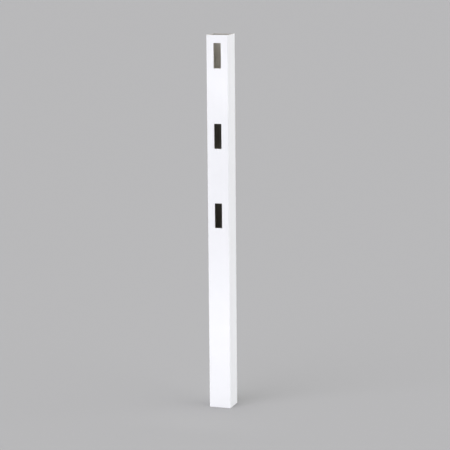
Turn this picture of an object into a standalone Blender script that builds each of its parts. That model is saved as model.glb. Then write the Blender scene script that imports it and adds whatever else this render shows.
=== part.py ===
"""Vinyl fence post: one square tube, open at both ends, with three rail mortises routed through its front wall.

Metres, +Z up. The origin is the middle of the bottom end, and the front, with the mortises, faces -Y.
"""

import math

import bmesh
import bpy

# The tube
WIDTH = 0.1270  # outside, both ways: 5 in
LENGTH = 2.1336  # 7 ft
WALL = 0.00381  # 0.150 in
OUTER_RADIUS = 0.00635  # 1/4 in
INNER_RADIUS = OUTER_RADIUS - WALL  # so the wall is as thick round the corners
CORNER_SEGMENTS = 12

# The flat rails that the mortises take, 1-1/2 x 5-1/2 in, and the clearance routed round them
RAIL_WIDTH = 0.0381
RAIL_HEIGHT = 0.1397
SIDE_CLEARANCE = 0.0024  # each side of a rail
END_CLEARANCE = 0.0008  # above and below it

# The mortises
MORTISE_COUNT = 3
MORTISE_WIDTH = RAIL_WIDTH + 2 * SIDE_CLEARANCE
MORTISE_HEIGHT = RAIL_HEIGHT + 2 * END_CLEARANCE
MORTISE_RADIUS = 0.003175  # the router bit's, 1/8 in
MORTISE_SEGMENTS = 8
MORTISE_PITCH = 0.45085  # centre to centre: 17-3/4 in
TOP_MARGIN = 0.04445  # the post's top to the first mortise: 1-3/4 in

OVERCUT = WALL  # how far a cutter runs past the surfaces that it cuts

VINYL_COLOUR = (0.86, 0.87, 0.89, 1.0)
VINYL_ROUGHNESS = 0.35


def new_collection(name):
    collection = bpy.data.collections.new(name)
    bpy.context.scene.collection.children.link(collection)
    return collection


def vinyl():
    material = bpy.data.materials.new("White Vinyl")
    material.use_nodes = True
    shader = material.node_tree.nodes["Principled BSDF"]
    shader.inputs["Base Color"].default_value = VINYL_COLOUR
    shader.inputs["Roughness"].default_value = VINYL_ROUGHNESS
    shader.inputs["Metallic"].default_value = 0.0
    return material


def rounded_bar(name, collection, size, centre, along, radius, segments):
    """A box of this size and centre. The four edges that run along the axis numbered `along` are rounded."""
    bm = bmesh.new()
    bmesh.ops.create_cube(bm, size=1.0)
    bmesh.ops.scale(bm, vec=size, verts=bm.verts)
    edges = [
        edge
        for edge in bm.edges
        if abs(edge.verts[0].co[along] - edge.verts[1].co[along]) > size[along] / 2
    ]
    bmesh.ops.bevel(
        bm,
        geom=edges,
        offset=radius,
        offset_type="OFFSET",
        segments=segments,
        profile=0.5,
        affect="EDGES",
        material=-1,
    )
    bmesh.ops.translate(bm, vec=centre, verts=bm.verts)
    mesh = bpy.data.meshes.new(name)
    bm.to_mesh(mesh)
    bm.free()
    mesh.shade_smooth()
    mesh.set_sharp_from_angle(angle=math.radians(30))
    bar = bpy.data.objects.new(name, mesh)
    collection.objects.link(bar)
    return bar


def cut(target, cutter):
    cutter.hide_render = True
    cutter.display_type = "WIRE"
    boolean = target.modifiers.new(cutter.name, "BOOLEAN")
    boolean.operation = "DIFFERENCE"
    boolean.solver = "EXACT"
    boolean.object = cutter


def mortise_centre(index):
    """Of the mortise with this number, counted down from the top, in the middle of the front wall."""
    top = LENGTH - TOP_MARGIN - index * MORTISE_PITCH
    return (0.0, -(WIDTH - WALL) / 2, top - MORTISE_HEIGHT / 2)


def main():
    for obj in list(bpy.data.objects):
        bpy.data.objects.remove(obj, do_unlink=True)
    parts = new_collection("Vinyl Fence Post")
    cutters = new_collection("Cutters")

    post = rounded_bar(
        "fence_post",
        parts,
        size=(WIDTH, WIDTH, LENGTH),
        centre=(0.0, 0.0, LENGTH / 2),
        along=2,
        radius=OUTER_RADIUS,
        segments=CORNER_SEGMENTS,
    )
    post.data.materials.append(vinyl())

    bore_width = WIDTH - 2 * WALL
    bore = rounded_bar(
        "Bore",
        cutters,
        size=(bore_width, bore_width, LENGTH + 2 * OVERCUT),
        centre=(0.0, 0.0, LENGTH / 2),
        along=2,
        radius=INNER_RADIUS,
        segments=CORNER_SEGMENTS,
    )
    cut(post, bore)

    for index in range(MORTISE_COUNT):
        mortise = rounded_bar(
            f"Mortise {index + 1}",
            cutters,
            size=(MORTISE_WIDTH, WALL + 2 * OVERCUT, MORTISE_HEIGHT),
            centre=mortise_centre(index),
            along=1,
            radius=MORTISE_RADIUS,
            segments=MORTISE_SEGMENTS,
        )
        cut(post, mortise)


main()
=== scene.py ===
import math

import bmesh
import bpy
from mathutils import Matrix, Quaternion, Vector


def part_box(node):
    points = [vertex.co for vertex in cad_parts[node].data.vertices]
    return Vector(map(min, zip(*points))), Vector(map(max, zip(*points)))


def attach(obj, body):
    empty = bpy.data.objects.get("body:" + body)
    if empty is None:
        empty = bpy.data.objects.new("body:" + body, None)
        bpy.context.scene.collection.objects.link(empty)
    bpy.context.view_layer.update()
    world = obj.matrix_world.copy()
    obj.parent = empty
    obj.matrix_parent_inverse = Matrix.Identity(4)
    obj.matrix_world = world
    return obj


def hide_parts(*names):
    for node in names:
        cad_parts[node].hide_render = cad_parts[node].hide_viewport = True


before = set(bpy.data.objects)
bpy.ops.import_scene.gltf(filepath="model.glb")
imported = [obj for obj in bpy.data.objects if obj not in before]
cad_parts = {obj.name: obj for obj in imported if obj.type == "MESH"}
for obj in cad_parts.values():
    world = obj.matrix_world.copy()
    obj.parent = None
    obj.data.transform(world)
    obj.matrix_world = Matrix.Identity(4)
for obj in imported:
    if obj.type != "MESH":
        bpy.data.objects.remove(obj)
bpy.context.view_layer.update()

# The tube, open at both ends, its front with the mortises towards -Y. All sizes are in metres.
LOW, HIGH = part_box("fence_post")
WIDTH = HIGH[0] - LOW[0]
HALF = WIDTH / 2
LENGTH = HIGH[2] - LOW[2]
WALL = 0.00381
OUTER_RADIUS = 0.00635
INNER_RADIUS = OUTER_RADIUS - WALL
FLAT = HALF - OUTER_RADIUS  # from the middle of a wall to where its corner begins
CORNER_SEGMENTS = 16

# The mortises
MORTISE_COUNT = 3
MORTISE_WIDTH = 0.0429
MORTISE_HEIGHT = 0.1413
MORTISE_RADIUS = 0.003175
MORTISE_SEGMENTS = 12
MORTISE_PITCH = 0.45085  # centre to centre
TOP_MARGIN = 0.04445  # the post's top to the first mortise
OVERCUT = 0.004  # how far a cutter runs past what it cuts

# The softened edge of every saw and router cut
DEBURR = 0.00035
DEBURR_SEGMENTS = 3
CUT_ANGLE = math.radians(60)  # a cut meets the tube's surface at more than this

# How far the middle of a wall lies in from its corners at most, and how that varies along the tube
SINK = 0.00022
SINK_WAVES = ((0.35, 2.1, 0.6), (0.20, 7.7, 0.0))  # share, radians per metre, radians at the foot
ROW_STEP = 0.028  # of the walls' division along the tube
COLUMNS = 12  # across each wall

# Distances within which points count as one
WELD = 0.000002
ON_PLANE = 0.00001


# The camera

CAMERA_AZIMUTH = math.radians(18.5)  # to the right of the front
CAMERA_DISTANCE = 10.0
CAMERA_HEIGHT = 2.8
CAMERA_AIM_RIGHT = 0.0162  # of the post's middle
CAMERA_AIM_HEIGHT = 1.0534
CAMERA_ROLL = math.radians(-0.462)
CAMERA_LENS = 142.95
CAMERA_SENSOR = 36.0


def make_camera():
    right = Vector((math.cos(CAMERA_AZIMUTH), math.sin(CAMERA_AZIMUTH), 0.0))
    towards = Vector((math.sin(CAMERA_AZIMUTH), -math.cos(CAMERA_AZIMUTH), 0.0))
    place = towards * CAMERA_DISTANCE + Vector((0.0, 0.0, CAMERA_HEIGHT))
    aim = right * CAMERA_AIM_RIGHT + Vector((0.0, 0.0, CAMERA_AIM_HEIGHT))
    camera = bpy.data.objects.new("camera", bpy.data.cameras.new("camera"))
    bpy.context.scene.collection.objects.link(camera)
    camera.data.sensor_width = CAMERA_SENSOR
    camera.data.lens = CAMERA_LENS
    camera.data.clip_end = 1000.0
    camera.location = place
    camera.rotation_mode = "QUATERNION"
    roll = Quaternion((0.0, 0.0, 1.0), CAMERA_ROLL)
    camera.rotation_quaternion = (aim - place).to_track_quat("-Z", "Y") @ roll
    bpy.context.scene.camera = camera


# Shader writing


class Value:
    """A node's output. Arithmetic on one that holds a number adds Math nodes beside it."""

    def __init__(self, shading, socket):
        self.shading = shading
        self.socket = socket

    def maths(self, operation, *others):
        inputs = dict(enumerate((self, *others)))
        return self.shading.node("ShaderNodeMath", {"operation": operation}, inputs)

    def __add__(self, other):
        return self.maths("ADD", other)

    def __sub__(self, other):
        return self.maths("SUBTRACT", other)

    def __rsub__(self, other):
        return self.shading.node("ShaderNodeMath", {"operation": "SUBTRACT"}, {0: other, 1: self})

    def __mul__(self, other):
        return self.maths("MULTIPLY", other)

    def __abs__(self):
        return self.maths("ABSOLUTE")

    __radd__ = __add__
    __rmul__ = __mul__

    def least(self, other):
        return self.maths("MINIMUM", other)

    def most(self, other):
        return self.maths("MAXIMUM", other)

    def root(self):
        return self.maths("SQRT")

    def sine(self):
        return self.maths("SINE")

    def ramp(self, start, end, low=0.0, high=1.0):
        """Smoothly from low at start to high at end, and flat beyond."""
        settings = {"interpolation_type": "SMOOTHSTEP"}
        inputs = {"Value": self, "From Min": start, "From Max": end, "To Min": low, "To Max": high}
        return self.shading.node("ShaderNodeMapRange", settings, inputs)


class Shading:
    """The nodes of a material or of the sky."""

    def __init__(self, owner):
        owner.use_nodes = True
        self.tree = owner.node_tree

    def node(self, kind, settings=None, inputs=None, output=0):
        made = self.tree.nodes.new(kind)
        for name, value in (settings or {}).items():
            setattr(made, name, value)
        for name, value in (inputs or {}).items():
            self.feed(made.inputs[name], value)
        return Value(self, made.outputs[output])

    def feed(self, socket, value):
        if isinstance(value, Value):
            self.tree.links.new(value.socket, socket)
        else:
            socket.default_value = value


class Finish(Shading):
    """A material, and the nodes that make it."""

    def __init__(self, name):
        self.material = bpy.data.materials.new(name)
        super().__init__(self.material)
        self.shader = self.tree.nodes["Principled BSDF"]

    def set(self, **values):
        for name, value in values.items():
            self.feed(self.shader.inputs[name.replace("_", " ")], value)

    def place(self):
        """The Object coordinates, whole and as x, y and z."""
        whole = self.node("ShaderNodeTexCoord", output="Object")
        split = self.node("ShaderNodeSeparateXYZ", inputs={0: whole})
        return whole, *(Value(self, socket) for socket in split.socket.node.outputs)

    def noise(self, whole, scale, detail, roughness=0.5, slowing=1.0):
        """Noise of so many grains to a metre. Slowed along the tube, it draws out into lines."""
        inputs = {"Vector": whole, "Scale": (1.0, 1.0, 1 / slowing)}
        drawn_out = self.node("ShaderNodeMapping", {"vector_type": "TEXTURE"}, inputs)
        inputs = {"Vector": drawn_out, "Scale": scale, "Detail": detail, "Roughness": roughness}
        return self.node("ShaderNodeTexNoise", {"noise_dimensions": "3D"}, inputs)

    def blend(self, factor, first, second):
        """A colour: first where the factor is 0, second where it is 1."""
        inputs = {"Factor": factor, 6: first, 7: second}
        return self.node("ShaderNodeMix", {"data_type": "RGBA"}, inputs, output=2)

    def bump(self, height, distance):
        inputs = {"Height": height, "Distance": distance, "Strength": 1.0}
        return self.node("ShaderNodeBump", inputs=inputs)


def colour(red, green, blue):
    return (red, green, blue, 1.0)


# Finishes

SKIN_WHITE = colour(0.860, 0.866, 0.886)
SKIN_WHITE_DULL = colour(0.845, 0.850, 0.868)
CORE_CUT = colour(0.600, 0.585, 0.540)
BORE_TAUPE = colour(0.472, 0.447, 0.388)
BORE_TAUPE_DARK = colour(0.437, 0.414, 0.357)
# Painted shade: the darker colour of the bore near its open ends
BORE_PAINTED_SHADE = colour(0.330, 0.315, 0.285)
FLOOR_GREY = colour(0.270, 0.270, 0.270)

SKIN_ROUGHNESS = 0.30
CORE_ROUGHNESS = 0.62

# Depths below the tube's outer surface, and distances from its ends
SKIN = 0.00055  # thickness of the white outer layer
SKIN_BLUR = 0.00008  # each way
BORE_BEGINS, BORE_FULL = WALL - 0.0006, WALL - 0.0003
SAW_MARKS_FULL, SAW_MARKS_GONE = 0.0003, 0.0006
PAINTED_SHADE_DEPTH = 0.110  # from each open end down the bore, the reach of the painted shade

# Patterns
DIE_LINES = {"scale": 900.0, "detail": 2.0, "slowing": 0.004}
BROAD_LINES = {"scale": 130.0, "detail": 3.0, "slowing": 0.012}
MOTTLE = {"scale": 9.0, "detail": 4.0, "roughness": 0.55}
GRAIN = {"scale": 2600.0, "detail": 2.0}
BLADE_X, BLADE_Y = -0.21, 0.06  # centre of the saw's arcs
SAW_PITCH, SAW_WANDER = 0.0011, 3.0  # metres, radians
ROUTER_PITCH, ROUTER_WANDER = 0.0008, 4.0
RELIEF = 0.00006  # height of a mark whose weight is 1


def vinyl():
    """Extruded vinyl: a smooth white skin over a taupe core, which shows in the bore and on the cuts."""
    finish = Finish("white_vinyl")
    whole, x, y, z = finish.place()

    # Where the surface is: on the skin, on a cut through the wall, or in the bore
    past_x, past_y = abs(x) - FLAT, abs(y) - FLAT
    round_x, round_y = past_x.most(0.0), past_y.most(0.0)
    from_arc = (round_x * round_x + round_y * round_y).root()
    depth = OUTER_RADIUS - (from_arc + past_x.most(past_y).least(0.0))
    below_skin = depth.ramp(SKIN - SKIN_BLUR, SKIN + SKIN_BLUR)
    in_bore = depth.ramp(BORE_BEGINS, BORE_FULL)
    on_cut = below_skin * (1.0 - in_bore)
    from_end = LENGTH / 2 - abs(z - LENGTH / 2)
    beyond_ends = from_end.ramp(SAW_MARKS_FULL, SAW_MARKS_GONE)

    # Lines that the die leaves along the tube, slow variation, and the roughness of a cut
    die_lines = finish.noise(whole, **DIE_LINES)
    broad_lines = finish.noise(whole, **BROAD_LINES)
    mottle = finish.noise(whole, **MOTTLE)
    grain = finish.noise(whole, **GRAIN)

    skin = finish.blend(mottle.ramp(0.35, 0.75), SKIN_WHITE, SKIN_WHITE_DULL)
    bore = finish.blend(broad_lines.ramp(0.35, 0.65), BORE_TAUPE, BORE_TAUPE_DARK)
    # Painted shade: the bore grows darker towards each open end
    bore = finish.blend(from_end.ramp(0.0, PAINTED_SHADE_DEPTH), BORE_PAINTED_SHADE, bore)
    core = finish.blend(in_bore, CORE_CUT, bore)
    finish.set(Base_Color=finish.blend(below_skin, skin, core))

    gloss = SKIN_ROUGHNESS + 0.10 * broad_lines + 0.05 * mottle
    dull = CORE_ROUGHNESS + 0.15 * die_lines
    finish.set(Roughness=gloss * (1.0 - below_skin) + dull * below_skin)

    # Saw arcs on the ends, and the router's chatter round the mortises
    blade_x, blade_y = x - BLADE_X, y - BLADE_Y
    sweep = (blade_x * blade_x + blade_y * blade_y).root()
    saw = (sweep * (2 * math.pi / SAW_PITCH) + SAW_WANDER * mottle).sine()
    router = ((x + z) * (2 * math.pi / ROUTER_PITCH) + ROUTER_WANDER * mottle).sine()
    tool_marks = saw * (1.0 - beyond_ends) + router * beyond_ends

    height = 0.25 * die_lines + 0.35 * broad_lines
    height = height + (0.35 * tool_marks + 0.60 * grain) * on_cut + 0.35 * die_lines * in_bore
    finish.set(Normal=finish.bump(height, RELIEF))
    finish.set(IOR=1.5, Metallic=0.0)
    return finish.material


def floor_paint():
    finish = Finish("studio_floor")
    finish.set(Base_Color=FLOOR_GREY, Roughness=1.0, Specular_IOR_Level=0.0)
    return finish.material


# The post


def rounded_bar(size, centre, along, radius, segments):
    """A closed box of this size, with the four edges that run along one axis rounded."""
    bar = bmesh.new()
    bmesh.ops.create_cube(bar, size=1.0)
    bmesh.ops.scale(bar, vec=size, verts=bar.verts)
    edges = [e for e in bar.edges if abs(e.verts[0].co[along] - e.verts[1].co[along]) > size[along] / 2]
    bmesh.ops.bevel(
        bar, geom=edges, offset=radius, offset_type="OFFSET", segments=segments, profile=0.5,
        affect="EDGES", material=-1,
    )
    bmesh.ops.translate(bar, vec=centre, verts=bar.verts)
    return bar


def as_object(name, shape):
    mesh = bpy.data.meshes.new(name)
    shape.to_mesh(mesh)
    shape.free()
    made = bpy.data.objects.new(name, mesh)
    bpy.context.scene.collection.objects.link(made)
    return made


def bore_cutter():
    width = WIDTH - 2 * WALL
    size = (width, width, LENGTH + 2 * OVERCUT)
    bar = rounded_bar(size, (0.0, 0.0, LENGTH / 2), 2, INNER_RADIUS, CORNER_SEGMENTS)
    return as_object("bore_cutter", bar)


def mortise_cutter(index):
    """The cutter of the mortise with this number, counted down from the top."""
    size = (MORTISE_WIDTH, WALL + 2 * OVERCUT, MORTISE_HEIGHT)
    top = LENGTH - TOP_MARGIN - index * MORTISE_PITCH
    centre = (0.0, -(WIDTH - WALL) / 2, top - MORTISE_HEIGHT / 2)
    bar = rounded_bar(size, centre, 1, MORTISE_RADIUS, MORTISE_SEGMENTS)
    return as_object(f"mortise_cutter_{index + 1}", bar)


def cut_tube():
    """The tube with its bore and mortises cut, as one mesh."""
    size = (WIDTH, WIDTH, LENGTH)
    bar = rounded_bar(size, (0.0, 0.0, LENGTH / 2), 2, OUTER_RADIUS, CORNER_SEGMENTS)
    tube = as_object("post_tube", bar)
    cutters = [bore_cutter(), *(mortise_cutter(index) for index in range(MORTISE_COUNT))]
    for cutter in cutters:
        cut = tube.modifiers.new(cutter.name, "BOOLEAN")
        cut.operation = "DIFFERENCE"
        cut.solver = "EXACT"
        cut.object = cutter
    finished = tube.evaluated_get(bpy.context.evaluated_depsgraph_get())
    tube_mesh = bpy.data.meshes.new_from_object(finished)
    tube.modifiers.clear()
    tube.data = tube_mesh
    for cutter in cutters:
        bpy.data.objects.remove(cutter, do_unlink=True)
    return tube


def is_cut_edge(edge):
    """Whether a saw or router cut meets the tube's outer or inner surface here."""
    return len(edge.link_faces) == 2 and edge.calc_face_angle(0.0) >= CUT_ANGLE


def soften_cut_edges(shape):
    bmesh.ops.remove_doubles(shape, verts=shape.verts, dist=WELD)
    flat_angle = math.radians(0.1)
    bmesh.ops.dissolve_limit(shape, angle_limit=flat_angle, verts=shape.verts, edges=shape.edges)
    edges = [e for e in shape.edges if is_cut_edge(e)]
    bmesh.ops.bevel(
        shape, geom=edges, offset=DEBURR, offset_type="OFFSET", segments=DEBURR_SEGMENTS, profile=0.5,
        affect="EDGES", material=-1, clamp_overlap=True,
    )


def divide(shape, axis, place):
    """Divides every face that crosses this place on an axis."""
    point, normal = [0.0, 0.0, 0.0], [0.0, 0.0, 0.0]
    point[axis], normal[axis] = place, 1.0
    everything = shape.verts[:] + shape.edges[:] + shape.faces[:]
    bmesh.ops.bisect_plane(shape, geom=everything, dist=ON_PLANE, plane_co=point, plane_no=normal)


def sink_walls(shape):
    """Brings the middle of every wall in a little, as the walls of an extrusion draw in while they cool."""
    rows = round(LENGTH / ROW_STEP)
    for row in range(1, rows):
        divide(shape, 2, LENGTH * row / rows)
    for axis in (0, 1):
        for column in range(COLUMNS + 1):
            divide(shape, axis, -FLAT + 2 * FLAT * column / COLUMNS)

    within_wall = HALF - WALL - 0.001
    highest = 1 + sum(share for share, _, _ in SINK_WAVES)
    for vertex in shape.verts:
        x, y, z = vertex.co
        waves = 1 + sum(share * math.sin(rate * z + start) for share, rate, start in SINK_WAVES)
        deepest = SINK * waves / highest
        if abs(y) > within_wall:
            vertex.co.y -= math.copysign(deepest * max(0.0, 1 - (x / FLAT) ** 2), y)
        if abs(x) > within_wall:
            vertex.co.x -= math.copysign(deepest * max(0.0, 1 - (y / FLAT) ** 2), x)


def finish_post():
    tube = cut_tube()
    shape = bmesh.new()
    shape.from_mesh(tube.data)
    soften_cut_edges(shape)
    sink_walls(shape)
    shape.to_mesh(tube.data)
    shape.free()
    tube.data.shade_smooth()
    tube.data.set_sharp_from_angle(angle=math.radians(40))
    even_shading = tube.modifiers.new("even_shading", "WEIGHTED_NORMAL")
    even_shading.keep_sharp = True
    even_shading.weight = 100  # the large flat faces lead
    tube.data.materials.clear()
    tube.data.materials.append(vinyl())
    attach(tube, "root")
    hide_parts("fence_post")


# The studio

# Where a light stands is in degrees: from the front towards the right, and up from the floor.
BACKGROUND = colour(0.479, 0.479, 0.479)
SKY_WHITE = colour(1.0, 1.0, 1.0)
SKY_STRENGTH = 1.386
DARK_SIDE = (17, 8)  # the unlit side of the room, which the mortises face
DARK_INSIDE, LIT_OUTSIDE = 25, 35  # degrees from its middle
FLOOR_REACH = 400.0
SUNS = {
    "front_light": {"stands": (-20, 45), "angle": 50, "energy": 1.61, "color": (0.93, 0.915, 1.0)},
    "right_light": {"stands": (90, 45), "angle": 50, "energy": 0.608, "color": (1.0, 1.0, 1.0)},
}
# Each lamp points at the middle of the front, at the height of its aim.
LAMPS = {
    "upper_lamp": {"place": (0.055, -0.3, 1.86), "aim": 1.86, "size": 0.12, "spread": 180, "watts": 0.050},
    "lower_lamp": {"place": (0.0, -0.6, 0.43), "aim": 0.43, "size": 0.30, "spread": 180, "watts": 0.315},
    "mortise_lamp": {"place": (0.079, -0.3, 2.12), "aim": 2.015, "size": 0.03, "spread": 14, "watts": 0.0022},
}


def direction(stands):
    azimuth, elevation = (math.radians(angle) for angle in stands)
    level = math.cos(elevation)
    return Vector((math.sin(azimuth) * level, -math.cos(azimuth) * level, math.sin(elevation)))


def add_light(name, kind, towards, **settings):
    light = bpy.data.lights.new(name, kind)
    for setting, value in settings.items():
        setattr(light, setting, value)
    lamp = bpy.data.objects.new(name, light)
    bpy.context.scene.collection.objects.link(lamp)
    lamp.rotation_mode = "QUATERNION"
    lamp.rotation_quaternion = towards.to_track_quat("Z", "Y")
    lamp.visible_camera = False
    return lamp


def light_sky(scene):
    """An even sky with one soft dark patch. Behind the post it is as grey as the floor."""
    scene.world = bpy.data.worlds.new("studio_sky")
    sky = Shading(scene.world)
    where = sky.node("ShaderNodeTexCoord", output="Generated")
    settings = {"operation": "DOT_PRODUCT"}
    nearness = sky.node("ShaderNodeVectorMath", settings, {0: where, 1: direction(DARK_SIDE)}, "Value")
    edge = [math.cos(math.radians(angle)) for angle in (LIT_OUTSIDE, DARK_INSIDE)]
    strength = nearness.ramp(*edge, SKY_STRENGTH, 0.0)
    light = sky.node("ShaderNodeBackground", inputs={"Color": SKY_WHITE, "Strength": strength})
    seen = sky.node("ShaderNodeBackground", inputs={"Color": BACKGROUND})
    by_camera = sky.node("ShaderNodeLightPath", output="Is Camera Ray")
    whole = sky.node("ShaderNodeMixShader", inputs={0: by_camera, 1: light, 2: seen})
    sky.feed(sky.tree.nodes["World Output"].inputs["Surface"], whole)


def lay_floor():
    ground = bmesh.new()
    bmesh.ops.create_grid(ground, x_segments=1, y_segments=1, size=FLOOR_REACH)
    floor = as_object("studio_floor", ground)
    floor.data.materials.append(floor_paint())


def studio():
    scene = bpy.context.scene
    scene.view_settings.view_transform = "Standard"
    scene.view_settings.look = "None"
    light_sky(scene)
    lay_floor()
    for name, sun in SUNS.items():
        stands = direction(sun["stands"])
        angle = math.radians(sun["angle"])
        add_light(name, "SUN", stands, angle=angle, energy=sun["energy"], color=sun["color"])
    for name, lamp in LAMPS.items():
        place = Vector(lamp["place"])
        towards = place - Vector((0.0, -HALF, lamp["aim"]))
        spread = math.radians(lamp["spread"])
        made = add_light(name, "AREA", towards, size=lamp["size"], spread=spread, energy=lamp["watts"])
        made.location = place


make_camera()
finish_post()
studio()
